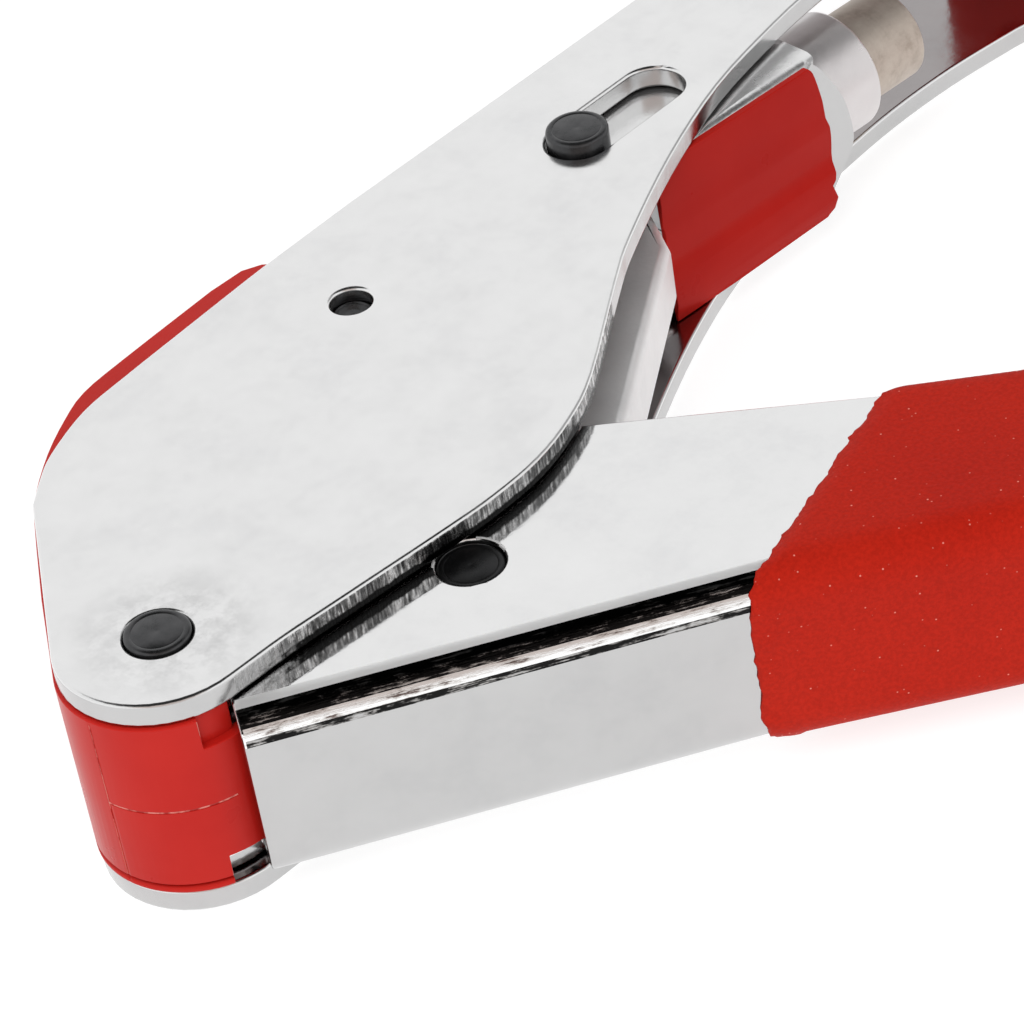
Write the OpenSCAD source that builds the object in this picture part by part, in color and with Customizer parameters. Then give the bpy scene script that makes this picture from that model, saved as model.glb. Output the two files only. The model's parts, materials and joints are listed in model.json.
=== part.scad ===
// Lever-type hand press for round cable plugs: two flat side plates, a nose pivot, a folded sheet lever,
// a toggle link and a sliding plunger carriage, with a split cable seat at the handle end.
// X runs along the plunger travel toward the fixed handle, Y is across the plates, Z is up from the resting face.

/* [Side plates] */
// Thickness of each side plate
plate_t = 2; // [1.8:0.1:2.2]
// Overall thickness over both plates
body_w = 20; // [20:0.1:20.4]
// Radius of the plate nose around the pivot
nose_r = 7.8; // [7.6:0.1:7.8]
// Where the plates end under the fixed handle
plate_end_x = 158; // [157:1:162]

/* [Pins] */
// Radius of the nose pivot pin
pivot_r = 2.5; // [2.3:0.05:2.5]
// Radius of the pin that joins lever and link
link_pin_r = 2.6; // [2.4:0.05:2.6]
// Radius of the sliding cross pin
slide_pin_r = 2.6; // [2.4:0.05:2.6]
// Radius of the small pin that holds the bumper and the spring
anchor_r = 1.65; // [1.5:0.05:1.65]
// Radial play of a turning or sliding pin
play = 0.05; // [0.03:0.01:0.08]

/* [Lever] */
// Sheet thickness of the lever and of the fixed handle
sheet_t = 1.5; // [1.3:0.1:1.6]
// Outer width of the lever channel
lever_w = 15.6; // [15.4:0.1:15.6]
// Outer radius of the fold
fold_r = 2.5; // [2.4:0.1:3]
// Length of the lever from the bend under the grip to its end
lever_len = 124; // [110:1:130]

/* [Grips] */
// Thickness of the dipped coating
grip_t = 0.6; // [0.5:0.1:1]

/* [Carriage] */
// Droop of the resting carriage below the slot line
droop = 4.2; // [3.8:0.1:4.4]
// Radius of the plunger tip
tip_r = 4.2; // [4:0.05:4.3]
// Radius of the plunger stud
stud_r = 2.5; // [2.3:0.05:2.5]

/* [Cable seat] */
// Radius of the round groove of the split jaws
groove_r = 3.45; // [3.2:0.05:3.6]
// Half width of the cable slot of the red cradle
slot_r = 3.6; // [3.5:0.05:3.9]

/* [Hidden] */
$fn = 64;

mid = body_w / 2;
gap_lo = plate_t;
gap_hi = body_w - plate_t;
link_c = [20.2, -11.4];
slide_d = [62.9, 16];
anchor_p = [36.6, 16.4];
slot_w = 2 * slide_pin_r + 0.3;
slot_x0 = 62.85;
slot_x1 = 72.05;
link_vec = slide_d - link_c;
link_len = norm(link_vec);
link_ang = atan2(link_vec[1], link_vec[0]);
link_t = 6;
lever_lo = mid - lever_w / 2;
lever_hi = mid + lever_w / 2;
web_ang = -33;
web_h = 9.2;
web_start = 3.7;
bend_s = 44;
grip_ang = -37.5;
handle_h = 13.1;
ear_r = 6.6;
axis_v = 1.2;
cable_y = slide_d[1] + axis_v;
jaw_pin_y = cable_y + 4.6;
jaw_pin_dz = 4.7;
jaw_pin_r = 1;
jaw_x0 = 129.6;
jaw_len = 6.4;
cradle_x0 = 122;
cradle_tab_x = 138.8;
cradle_end_x = 140.6;
cradle_roof = [24.3, 26.1];
channel_x0 = 142.5;
channel_x1 = 186;
channel_y0 = 10.6;
channel_y1 = 25.7;
upper_grip_x0 = 160;
rivet_x = [147, 154];
rivet_y = 22;
rivet_r = 2;
cradle_pin_x = [123.6, 127.4];
cradle_pin_y = 24.3;
cradle_pin_r = 1.2;
bracket_t = 1;
bracket_w = 15.4;
web_v = -5.35;
wall_end = 22.7;
block_u0 = 10.5;
block_u1 = 22.6;
block_low = web_v + bracket_t + 0.05;
block_top = 6.9;
wall_top = 7;
nut_u0 = 22.8;
nut_u1 = 30.8;
nut_r = 5.5;
tip_end = 37.5;
carriage_rivet_u = [13.2, 19.6];
carriage_rivet_v = 5.2;
carriage_rivet_r = 0.9;
saddle_posts = [[7.8, 5], [7.8, 15]];

// point at a radius and angle
function polar(r, a) = [r * cos(a), r * sin(a)];

// smooth curve through a row of points
function blend(a, b, c, d, t) =
    0.5 * (2 * b + (c - a) * t + (2 * a - 5 * b + 4 * c - d) * t * t + (3 * b - a - 3 * c + d) * t * t * t);
function smooth(p, n) = [
    for (i = [0 : len(p) - 2])
        for (k = [0 : n - 1])
            blend(p[max(i - 1, 0)], p[i], p[i + 1], p[min(i + 2, len(p) - 1)], k / n),
    p[len(p) - 1]
];

// position in lever measures: s along the web, h outward from the pivot line
function lever_pt(s, h) = [
    s * cos(web_ang) + h * sin(web_ang),
    s * sin(web_ang) - h * cos(web_ang)
];
bend_p = lever_pt(bend_s, web_h);
grip_dir = [cos(grip_ang), sin(grip_ang)];
grip_up = [-sin(grip_ang), cos(grip_ang)];
lever_end_p = bend_p + lever_len * grip_dir;
dip_lo = [29.8, -29.8];
dip_hi = [52.7, -23.8];
dip_dir = (dip_hi - dip_lo) / norm(dip_hi - dip_lo);

module slab(z0, z1) {
    translate([0, 0, z0])
        linear_extrude(z1 - z0)
            children();
}

module rod(p, r, z0, z1) {
    translate([p[0], p[1], z0])
        cylinder(r = r, h = z1 - z0);
}

// rod with a bevel on each end
module bevel_rod(p, r, z0, z1, c) {
    rod(p, r, z0 + c, z1 - c);
    translate([p[0], p[1], z0])
        cylinder(r1 = r - c, r2 = r, h = c);
    translate([p[0], p[1], z1 - c])
        cylinder(r1 = r, r2 = r - c, h = c);
}

module ring(p, ro, ri, z0, z1) {
    difference() {
        rod(p, ro, z0, z1);
        rod(p, ri, z0 - 1, z1 + 1);
    }
}

// folded sheet section: width across x, fold at y = 0, walls up
module round_bottom(w, h, r) {
    translate([-w / 2, r])
        square([w, h - r]);
    translate([-w / 2 + r, 0])
        square([w - 2 * r, r + 0.1]);
    for (s = [-1, 1])
        translate([s * (w / 2 - r), r])
            circle(r);
}

module fold_section(w, h, t, r) {
    difference() {
        round_bottom(w, h, r);
        translate([0, t])
            round_bottom(w - 2 * t, h, r - t);
    }
}

// folded sheet laid along a direction in the plane of the plates, fold outward below
module fold_bar(p, a, len, w, h, t, r) {
    translate([p[0], p[1], mid])
        rotate([0, 0, a])
            rotate([0, 90, 0])
                linear_extrude(len)
                    fold_section(w, h, t, r);
}

// round wire along a path that never runs straight up Z
function path_dir(p, i) = let (d = p[min(i + 1, len(p) - 1)] - p[max(i - 1, 0)]) d / norm(d);
function side_of(d) = let (s = [-d[1], d[0], 0]) s / norm(s);
module wire(p, r, n) {
    rings = [
        for (i = [0 : len(p) - 1])
            let (d = path_dir(p, i), e = side_of(d), f = cross(d, e))
                for (k = [0 : n - 1])
                    p[i] + r * cos(360 * k / n) * e + r * sin(360 * k / n) * f
    ];
    sides = [
        for (i = [0 : len(p) - 2])
            for (k = [0 : n - 1])
                [i * n + k, i * n + (k + 1) % n, (i + 1) * n + (k + 1) % n, (i + 1) * n + k]
    ];
    cap_a = [for (k = [n - 1 : -1 : 0]) k];
    cap_b = [for (k = [0 : n - 1]) (len(p) - 1) * n + k];
    polyhedron(rings, concat([cap_a], sides, [cap_b]));
}

// where a straight leg leaves a coil of radius r so that it passes beside a pin at q
function leg_angle(q, r, beside, side) =
    atan2(q[1], q[0]) - side * asin((r + beside) / norm(q));

// ---- side plates ----
nose_a = 142;
top_edge = [[5, 19.05], [7.4, 20.9], [10, 22.5], [15, 24.3], [20, 24.85], [28, 25.4], [36, 25.9], [46, 26.2]];
low_edge = [[116, 13.2], [108, 14.24], [100, 14.54], [92.2, 14.12], [85, 13.35], [75, 11.4], [65, 7.9],
    [55, 3.3], [50, 0.4], [40, -6], [35, -8.3], [30, -9.6], [25, -9.85], [20, -9.5], [10, -8.5], [5, -8],
    [0, -nose_r]];
tail_edge = [[154, 9.1], [146, 9.1], [138, 9.4], [131, 10], [124, 11.5], [116, 13.2]];

module plate_outline() {
    nose = [for (a = [262 : -8 : nose_a]) polar(nose_r, a)];
    polygon(concat(nose, smooth(top_edge, 4), [[plate_end_x - 6, 26.2]], tail_corners(),
        smooth(tail_edge, 3), smooth(low_edge, 4)));
}

function tail_corners() = concat(
    [for (a = [90 : -15 : 0]) [plate_end_x - 4, 22.2] + polar(4, a)],
    [for (a = [0 : -15 : -90]) [plate_end_x - 4, 13.1] + polar(4, a)]
);

module plate(z0) {
    slab(z0, z0 + plate_t)
        difference() {
            plate_outline();
            circle(pivot_r + play);
            translate(anchor_p)
                circle(anchor_r + play);
            for (x = [slot_x0, slot_x1])
                translate([x, slide_d[1]])
                    circle(slot_w / 2);
            translate([slot_x0, slide_d[1] - slot_w / 2])
                square([slot_x1 - slot_x0, slot_w]);
            for (x = rivet_x)
                translate([x, rivet_y])
                    circle(rivet_r + play);
            for (x = cradle_pin_x)
                translate([x, cradle_pin_y])
                    circle(cradle_pin_r + play);
        }
}

module front_plate() {
    color("silver")
        plate(gap_hi);
}

module rear_plate() {
    color("silver")
        plate(0);
}

// ---- red bumper round the nose ----
bump_out = [[-0.75, 12.3], [5, 19.45], [7.4, 22], [11.4, 25], [15.1, 27.1], [18.3, 28.4], [23, 28.9],
    [33.3, 29.5]];
bump_r = 8;
bump_ri = 6.9;

module bump_wedge(a0, a1) {
    polygon(concat([[0, 0]], [for (k = [0 : 4]) polar(20, a0 + (a1 - a0) * k / 4)]));
}

module bump_ring(a0, a1) {
    intersection() {
        difference() {
            circle(bump_r);
            circle(bump_ri);
        }
        bump_wedge(a0, a1);
    }
}

module nose_bumper() {
    color("crimson") {
        slab(gap_lo + 0.1, gap_hi - 0.1) {
            bump_ring(-116, nose_a - 360);
            polygon(concat([polar(bump_ri, nose_a + 1), polar(bump_r, nose_a + 1)], smooth(bump_out, 3),
                [for (a = [75 : -25 : 0]) [35.6, 25.5] + polar(4, a)],
                [[39.6, 23.4], [20, 22.9], [12.5, 20.9], [7.2, 17.2]]));
        }
        slab(4.8, 15.2)
            bump_ring(-66, -118);
        difference() {
            union() {
                rod(anchor_p, 3.1, 6.6, 13.4);
                slab(8, 12)
                    polygon([[30, 24], [39.4, 24], [39.2, 17.4], [34, 17.4]]);
            }
            rod(anchor_p, anchor_r + play, 6, 14);
        }
    }
}

// ---- nose pivot, sleeve, anchor and return spring ----
module pivot_pin() {
    color("dimgray")
        bevel_rod([0, 0], pivot_r, 0, body_w + 0.3, 0.3);
}

module pivot_sleeve() {
    color("peru")
        ring([0, 0], 3.6, pivot_r + play, lever_lo + sheet_t + 0.1, lever_hi - sheet_t - 0.1);
}

module anchor_pin() {
    color("dimgray")
        bevel_rod(anchor_p, anchor_r, 1.1, body_w - 1.1, 0.3);
}

coil_r = 4.6;
coil_wire = 0.55;
coil_lo = 5.4;
coil_hi = 14.6;
leg_a = leg_angle(anchor_p, coil_r, anchor_r + coil_wire + 0.05, 1);
leg_b = leg_angle(link_c, coil_r, 4.2 + coil_wire + 0.05, -1);

module return_spring() {
    turn_a = leg_a + 90;
    turn_b = leg_b + 270;
    steps = 144;
    coil = [
        for (k = [0 : steps])
            let (a = turn_a + (turn_b - turn_a + 7 * 360) * k / steps)
                [coil_r * cos(a), coil_r * sin(a), coil_lo + (coil_hi - coil_lo) * k / steps]
    ];
    start = coil[0] + 41.5 * [cos(leg_a), sin(leg_a), 0];
    finish = coil[steps] + 24 * [cos(leg_b), sin(leg_b), 0];
    color("darkgray")
        wire(concat([start], coil, [finish]), coil_wire, 8);
}

// ---- fixed handle ----
module channel_shape(grow) {
    translate([channel_x0 - 1, channel_y0 - grow])
        square([channel_x1 - 5 - channel_x0 + 1, channel_y1 - channel_y0 + 2 * grow]);
    translate([channel_x1 - 6, channel_y0 + 5 - grow])
        square([6 + grow, channel_y1 - channel_y0 - 10 + 2 * grow]);
    for (y = [channel_y0 + 5, channel_y1 - 5])
        translate([channel_x1 - 5, y])
            circle(5 + grow);
}

module channel_bar(x0, extra_out, extra_in) {
    translate([x0, channel_y1 + extra_out, mid])
        rotate([180, 0, 0])
            rotate([0, 90, 0])
                linear_extrude(channel_x1 - x0 + 4)
                    fold_section(lever_w + 2 * extra_out, 22, sheet_t + extra_out + extra_in,
                        fold_r + extra_out);
}

module upper_channel() {
    color("silver")
        difference() {
            intersection() {
                channel_bar(channel_x0, 0, 0);
                slab(0, body_w)
                    channel_shape(0);
            }
            for (x = rivet_x)
                rod([x, rivet_y], rivet_r + play, 0, body_w);
        }
}

module upper_grip() {
    color("crimson")
        difference() {
            intersection() {
                union() {
                    channel_bar(upper_grip_x0, grip_t, grip_t * 0.4);
                    translate([channel_x1 - 1.5, channel_y0 + 1, lever_lo])
                        cube([1.5 + grip_t, channel_y1 - channel_y0 - 2, lever_w]);
                }
                slab(-1, body_w + 1)
                    channel_shape(grip_t);
            }
            intersection() {
                channel_bar(channel_x0, 0, 0);
                slab(0, body_w)
                    channel_shape(0);
            }
        }
}

module handle_rivets() {
    color("gray")
        for (x = rivet_x)
            bevel_rod([x, rivet_y], rivet_r, 0.1, body_w - 0.1, 0.3);
}

// ---- cable seat ----
module seat_block(x0, x1, y0, r) {
    translate([x0, 0, 0])
        rotate([90, 0, 90])
            linear_extrude(x1 - x0)
                difference() {
                    translate([y0, gap_lo + 0.15])
                        square([cradle_roof[1] - y0, gap_hi - gap_lo - 0.3]);
                    translate([cable_y, mid])
                        circle(r);
                    translate([0, mid - r])
                        square([cable_y, 2 * r]);
                }
}

module connector_cradle() {
    color("crimson")
        difference() {
            union() {
                seat_block(cradle_x0, jaw_x0 - 0.6, 9, slot_r);
                seat_block(cradle_tab_x, cradle_end_x, 18.8, slot_r + 0.6);
                translate([cradle_x0, cradle_roof[0], gap_lo + 0.15])
                    cube([cradle_end_x - cradle_x0, cradle_roof[1] - cradle_roof[0], gap_hi - gap_lo - 0.3]);
            }
            for (x = cradle_pin_x)
                rod([x, cradle_pin_y], cradle_pin_r + play, 0, body_w);
            for (s = [-1, 1])
                translate([jaw_x0 - 3.6, jaw_pin_y, mid + s * jaw_pin_dz])
                    rotate([0, 90, 0])
                        cylinder(r = jaw_pin_r + play, h = 20);
        }
}

module cradle_pins() {
    color("dimgray")
        for (x = cradle_pin_x)
            bevel_rod([x, cradle_pin_y], cradle_pin_r, 0.4, body_w - 0.4, 0.2);
}

module jaw_pins() {
    color("dimgray")
        for (s = [-1, 1])
            translate([jaw_x0 - 3.5, jaw_pin_y, mid + s * jaw_pin_dz])
                rotate([0, 90, 0])
                    cylinder(r = jaw_pin_r, h = cradle_end_x - jaw_x0 + 3.4);
}

// half jaw in the plane across the cable, for the front side
module jaw() {
    translate([jaw_x0, cable_y, mid])
        rotate([90, 0, 90])
            linear_extrude(jaw_len)
                difference() {
                    union() {
                        polygon([[-6.8, 0.15], [3.4, 0.15], [5.4, 2.4], [6.6, 4.7], [5.4, 6.3], [2, 6.7], [-3, 4.4],
                            [-5.8, 4.2], [-6.8, 3.2]]);
                        translate([jaw_pin_y - cable_y, jaw_pin_dz])
                            circle(2);
                    }
                    circle(groove_r);
                    translate([jaw_pin_y - cable_y, jaw_pin_dz])
                        circle(jaw_pin_r + play);
                }
}

// the same thing on the rear side
module rear_twin() {
    translate([0, 0, body_w])
        mirror([0, 0, 1])
            children();
}

module front_jaw() {
    color("lightgray")
        jaw();
}

module rear_jaw() {
    color("lightgray")
        rear_twin()
            jaw();
}

// small spring round a jaw pin: one leg under the cradle roof, one leg on the jaw
module jaw_spring() {
    n = 56;
    r = 1.55;
    coil = [
        for (k = [0 : n])
            let (a = 270 + 1010 * k / n)
                [r * cos(a), r * sin(a), 1.8 * k / n - 0.9]
    ];
    start = coil[0] + [-3, 0, 0];
    finish = coil[n] + 2.6 * [cos(290), sin(290), 0];
    color("darkgray")
        translate([jaw_x0 + jaw_len + 1.6, jaw_pin_y, mid + jaw_pin_dz])
            rotate([90, 0, 90])
                wire(concat([start], coil, [finish]), 0.22, 8);
}

module front_jaw_spring() {
    jaw_spring();
}

module rear_jaw_spring() {
    rear_twin()
        jaw_spring();
}

// ---- lever ----
lever_top = [[51.4, -23.8], [36.7, -7.5], [30, -0.2], [22, 4], [12, 6]];
slope_end = bend_p + 50 * grip_dir + handle_h * grip_up;

module lever_outline(up, out) {
    end_p = lever_end_p + out * grip_dir;
    polygon(concat(
        [lever_pt(web_start, web_h + 2 * up), bend_p - 2 * up * grip_up, end_p - 2 * up * grip_up],
        [end_p + 4 * grip_up + [0, 0], end_p + (handle_h - 3) * grip_up,
            end_p + (handle_h + up) * grip_up - 3 * grip_dir, slope_end + up * grip_up],
        [lever_top[0] + up * [0.7, 0.7]],
        [for (i = [1 : 4]) lever_top[i]],
        [polar(ear_r, 85), [0, 0], lever_pt(web_start, 4)]
    ));
}

// both straight stretches of the folded sheet, mitred where they meet
module lever_sheet(out, in) {
    mitre = (web_ang + grip_ang) / 2;
    intersection() {
        fold_bar(lever_pt(-12, web_h + out), web_ang, bend_s + 30, lever_w + 2 * out, 60, sheet_t + out + in,
            fold_r + out);
        translate([bend_p[0], bend_p[1], -5])
            rotate([0, 0, mitre])
                translate([-90, -40, 0])
                    cube([90, 120, 40]);
    }
    intersection() {
        fold_bar(bend_p - 20 * grip_dir - out * grip_up, grip_ang, lever_len + 40, lever_w + 2 * out, 60,
            sheet_t + out + in, fold_r + out);
        translate([bend_p[0], bend_p[1], -5])
            rotate([0, 0, mitre])
                translate([0, -40, 0])
                    cube([200, 120, 40]);
    }
}

module lever_body() {
    intersection() {
        lever_sheet(0, 0);
        slab(0, body_w)
            union() {
                lever_outline(0, 0);
                circle(ear_r);
            }
    }
}

module lever_channel() {
    color("silver")
        difference() {
            lever_body();
            rod([0, 0], pivot_r + play, 0, body_w);
            rod(link_c, link_pin_r + play, 0, body_w);
        }
}

module lever_grip() {
    color("crimson")
        difference() {
            intersection() {
                union() {
                    lever_sheet(grip_t, grip_t * 0.4);
                    slab(lever_lo, lever_hi)
                        polygon([lever_end_p - 1.5 * grip_dir, lever_end_p + 2 * grip_dir,
                            lever_end_p + 2 * grip_dir + 12 * grip_up, lever_end_p - 1.5 * grip_dir + 12 * grip_up]);
                }
                slab(-2, body_w + 2)
                    intersection() {
                        lever_outline(grip_t, grip_t);
                        polygon([dip_lo - 20 * dip_dir, dip_hi + 20 * dip_dir, [220, 0], [220, -200], [20, -200]]);
                    }
            }
            lever_body();
        }
}

module link_pin() {
    color("dimgray")
        bevel_rod(link_c, link_pin_r, lever_lo + 0.3, lever_hi - 0.3, 0.3);
}

module pair_of_spacers(p, pin_r, lo, hi) {
    ring(p, 4.2, pin_r + play, lo, mid - link_t / 2 - 0.1);
    ring(p, 4.2, pin_r + play, mid + link_t / 2 + 0.1, hi);
}

module link_spacers() {
    color("gray")
        pair_of_spacers(link_c, link_pin_r, lever_lo + sheet_t + 0.1, lever_hi - sheet_t - 0.1);
}

// ---- toggle link, u along the line of its two eyes ----
eye_flat = 4.65;
eye_hole = 3.35;

module toggle_link() {
    flat_a = 25.5;
    flat_p = [link_len, 0] + polar(eye_flat, flat_a - 90);
    color("silver")
        translate([link_c[0], link_c[1], 0])
            rotate([0, 0, link_ang])
                slab(mid - link_t / 2, mid + link_t / 2)
                    difference() {
                        union() {
                            circle(7);
                            difference() {
                                translate([link_len, 0])
                                    circle(5.2);
                                translate(flat_p)
                                    rotate(flat_a)
                                        translate([-20, -6])
                                            square([40, 6]);
                            }
                            polygon(concat([[0, 7], [0, -7], [4, -7.4], [45.7, -7.5]],
                                [flat_p + polar(-3, flat_a), flat_p, [link_len, 0], [link_len, 5.2]]));
                        }
                        circle(link_pin_r + play);
                        translate([link_len, 0])
                            circle(eye_hole);
                    }
}

// ---- sliding pin ----
module slider_pin() {
    color("dimgray")
        bevel_rod(slide_d, slide_pin_r, 0.1, body_w + 1.2, 0.35);
}

module slider_spacers() {
    color("gray")
        pair_of_spacers(slide_d, slide_pin_r, mid - bracket_w / 2 + bracket_t + 0.1,
            mid + bracket_w / 2 - bracket_t - 0.1);
}

// ---- carriage, u along the plunger, v across, drooping about the sliding pin ----
web_edge = [[21.6, 17.7], [22.9, 16.1], [24.8, 12.65], [25.6, 9.3], [25.4, 7.4], [23.9, 5.6], [22.4, 3.9],
    [21.5, 2.3]];
saddle_edge = [[20.6, 17.9], [21.1, 17.2], [21.7, 15], [22.3, 12], [22.65, 10], [22.7, 7.4], [22.5, 5.7]];

module on_carriage() {
    translate([slide_d[0], slide_d[1], 0])
        rotate([0, 0, -droop])
            children();
}

// flat sheet lying in the u, z plane between two v levels
module flat_sheet(v0, v1) {
    translate([0, v1, 0])
        rotate([90, 0, 0])
            linear_extrude(v1 - v0)
                children();
}

module bracket_side() {
    circle(5);
    polygon([[0, 5], [0, -5], [5.2, web_v], [21.6, web_v], [22.5, web_v + 0.7], [wall_end, web_v + 1.6],
        [wall_end, wall_top], [8, wall_top]]);
}

module slider_bracket() {
    color("gainsboro")
        on_carriage()
            difference() {
                union() {
                    intersection() {
                        fold_bar([-6, web_v], 0, 40, bracket_w, 14, bracket_t, 1.3);
                        slab(0, body_w)
                            bracket_side();
                    }
                    flat_sheet(web_v, web_v + bracket_t)
                        polygon(concat([[16, 3.6], [16, 16.4], [20, 16.4]], smooth(web_edge, 4), [[20, 3.6]]));
                }
                translate([-6, -8, mid - bracket_w / 2 + bracket_t])
                    cube([11.4, 16, bracket_w - 2 * bracket_t]);
                rod([0, 0], slide_pin_r + play, 0, body_w);
                for (u = carriage_rivet_u)
                    rod([u, carriage_rivet_v], carriage_rivet_r + play, 0, body_w);
                for (p = saddle_posts)
                    translate([p[0], 0, p[1]])
                        rotate([90, 0, 0])
                            cylinder(r = 1.05, h = 10);
            }
}

module slider_saddle() {
    color("crimson")
        on_carriage() {
            flat_sheet(web_v - 0.65, web_v - 0.03)
                polygon(concat([[3.2, 2.1], [2.6, 17.9]], smooth(saddle_edge, 3),
                    [[22.1, 5.3], [22.6, 3.9], [22.3, 2.8], [21.4, 2.3], [10.5, 2.1]]));
            for (p = saddle_posts)
                translate([p[0], -3.4, p[1]])
                    rotate([90, 0, 0])
                        cylinder(r = 1, h = 2.2);
        }
}

module slider_block() {
    color("darkgray")
        on_carriage()
            difference() {
                translate([block_u0, block_low, mid - bracket_w / 2 + bracket_t + 0.05])
                    cube([block_u1 - block_u0, block_top - block_low, bracket_w - 2 * bracket_t - 0.1]);
                translate([block_u0 - 1, axis_v, mid])
                    rotate([0, 90, 0])
                        cylinder(r = stud_r + play, h = 20);
                for (u = carriage_rivet_u)
                    rod([u, carriage_rivet_v], carriage_rivet_r + play, 0, body_w);
            }
}

module carriage_rivets() {
    color("gray")
        on_carriage()
            for (u = carriage_rivet_u)
                bevel_rod([u, carriage_rivet_v], carriage_rivet_r, 2.35, body_w - 2.35, 0.2);
}

// round nut with a bevelled nose
module lock_nut() {
    color("silver")
        on_carriage()
            translate([0, axis_v, mid])
                rotate([0, 90, 0])
                    difference() {
                        union() {
                            translate([0, 0, nut_u0])
                                cylinder(r = nut_r, h = nut_u1 - nut_u0 - 0.5);
                            translate([0, 0, nut_u1 - 0.5])
                                cylinder(r1 = nut_r, r2 = nut_r - 0.5, h = 0.5);
                        }
                        translate([0, 0, nut_u0 - 1])
                            cylinder(r = stud_r + play, h = 20);
                    }
}

module plunger() {
    color("tan")
        on_carriage()
            translate([0, axis_v, mid])
                rotate([0, 90, 0])
                    difference() {
                        union() {
                            translate([0, 0, 11])
                                cylinder(r = stud_r, h = nut_u1 - 10.5);
                            translate([0, 0, nut_u1 + 0.05])
                                cylinder(r = tip_r, h = tip_end - nut_u1 - 0.35);
                            translate([0, 0, tip_end - 0.3])
                                cylinder(r1 = tip_r, r2 = tip_r - 0.3, h = 0.3);
                        }
                        translate([0, 0, tip_end - 3])
                            cylinder(r = 1, h = 4);
                    }
}

front_plate();
rear_plate();
nose_bumper();
pivot_pin();
pivot_sleeve();
anchor_pin();
return_spring();
upper_channel();
upper_grip();
handle_rivets();
connector_cradle();
cradle_pins();
jaw_pins();
front_jaw();
rear_jaw();
front_jaw_spring();
rear_jaw_spring();
lever_channel();
lever_grip();
link_pin();
link_spacers();
toggle_link();
slider_pin();
slider_spacers();
slider_bracket();
slider_saddle();
slider_block();
carriage_rivets();
lock_nut();
plunger();
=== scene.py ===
import json
import math

import bmesh
import bpy
import numpy as np
from mathutils import Matrix, Vector, noise


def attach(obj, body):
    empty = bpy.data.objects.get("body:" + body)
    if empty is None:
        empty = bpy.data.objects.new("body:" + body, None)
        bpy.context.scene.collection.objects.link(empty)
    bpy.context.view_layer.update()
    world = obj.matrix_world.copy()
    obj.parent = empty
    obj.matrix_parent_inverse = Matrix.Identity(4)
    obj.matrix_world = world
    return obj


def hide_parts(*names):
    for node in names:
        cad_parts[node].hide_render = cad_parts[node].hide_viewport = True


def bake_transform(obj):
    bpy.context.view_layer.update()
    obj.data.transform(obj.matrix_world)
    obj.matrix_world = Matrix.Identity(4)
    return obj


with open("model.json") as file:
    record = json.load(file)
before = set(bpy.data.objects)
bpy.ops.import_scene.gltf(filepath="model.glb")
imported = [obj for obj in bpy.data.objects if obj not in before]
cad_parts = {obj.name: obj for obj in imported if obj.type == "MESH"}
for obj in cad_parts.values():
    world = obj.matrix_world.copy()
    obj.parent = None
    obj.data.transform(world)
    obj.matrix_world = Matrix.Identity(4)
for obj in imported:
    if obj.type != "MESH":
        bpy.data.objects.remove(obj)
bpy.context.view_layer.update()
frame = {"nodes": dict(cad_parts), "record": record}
MM = 0.001

# ---------------------------------------------------------------- measures of the part, in mm

MID = 10.0
PLATE_TOP = 20.0
PLATE_T = 2.0
SLIDE_D = Vector((62.9, 16.0, 0))
LINK_C = Vector((20.2, -11.4, 0))
ANCHOR = Vector((36.6, 16.4, 0))
SLOT_MID = (67.4, 16.0)
SLOT_HALF = (8.0, 3.2)
TORN_X = {"front_plate": (0, 47), "rear_plate": (14, 47)}
PIN_R = 2.6
PIN_PLAY = 0.05
SPACER_R = 4.2
BUMPER_R = 8.0

LEVER_W = 15.6
FOLD_R = 2.5
WEB_ANG = math.radians(-33.0)
GRIP_ANG = math.radians(-37.5)
WEB_H = 9.2
BEND_S = 44.0
HANDLE_H = 13.1
DIP_LO = Vector((29.8, -29.8, 0))
DIP_HI = Vector((52.7, -23.8, 0))
UPPER_DIP = Vector((160, 0, 0))
UPPER_FACE_Y = 25.7

DROOP = math.radians(-4.2)
AXIS_V = 1.2
WEB_V = -5.35
CARRIAGE = Matrix.Translation(SLIDE_D) @ Matrix.Rotation(DROOP, 4, "Z")
NUT_R = 5.5
NUT_LO, NUT_HI = 22.8, 30.8
STUD_R = 2.5
STUD_LO = 11.0
TIP_R = 4.2
TIP_LO, TIP_HI = 30.85, 37.5
TIP_BORE_R = 1.0
TIP_BORE_LO = 34.5

RIVET_X, RIVET_Y = (147, 154), 22
CRADLE_PIN_X, CRADLE_PIN_Y = (123.6, 127.4), 24.3
JAW_PIN_Y = 21.8
JAW_PIN_OFF = 4.7
JAW_PIN_X = (126.1, 140.5)
JAW_COIL_X = 137.6
JAW_COIL_L = 1.8

# tone of upright plated faces, darker than the plating: painted shade for their darker reflections
SIDE_SHADE_TONE = 0.56
SMUDGE_AT = Vector((0.6, -0.6, PLATE_TOP))
SMUDGE_R = (2.8, 7.5)
TEAR_ONSET = 90.0
VOXEL = 0.5
WELD = 2e-6

# ---------------------------------------------------------------- node helpers


def new_material(name):
    mat = bpy.data.materials.new(name)
    mat.use_nodes = True
    tree = mat.node_tree
    return mat, tree, tree.nodes["Principled BSDF"]


def add(tree, kind, **settings):
    node = tree.nodes.new(kind)
    for key, value in settings.items():
        if key in node.inputs:
            node.inputs[key].default_value = value
        else:
            setattr(node, key, value)
    return node


def grey(level, warm=1.0):
    """Grey colour; below 1, warm takes some green and blue out of it."""
    return (level, level * warm, level * warm, 1)


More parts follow.
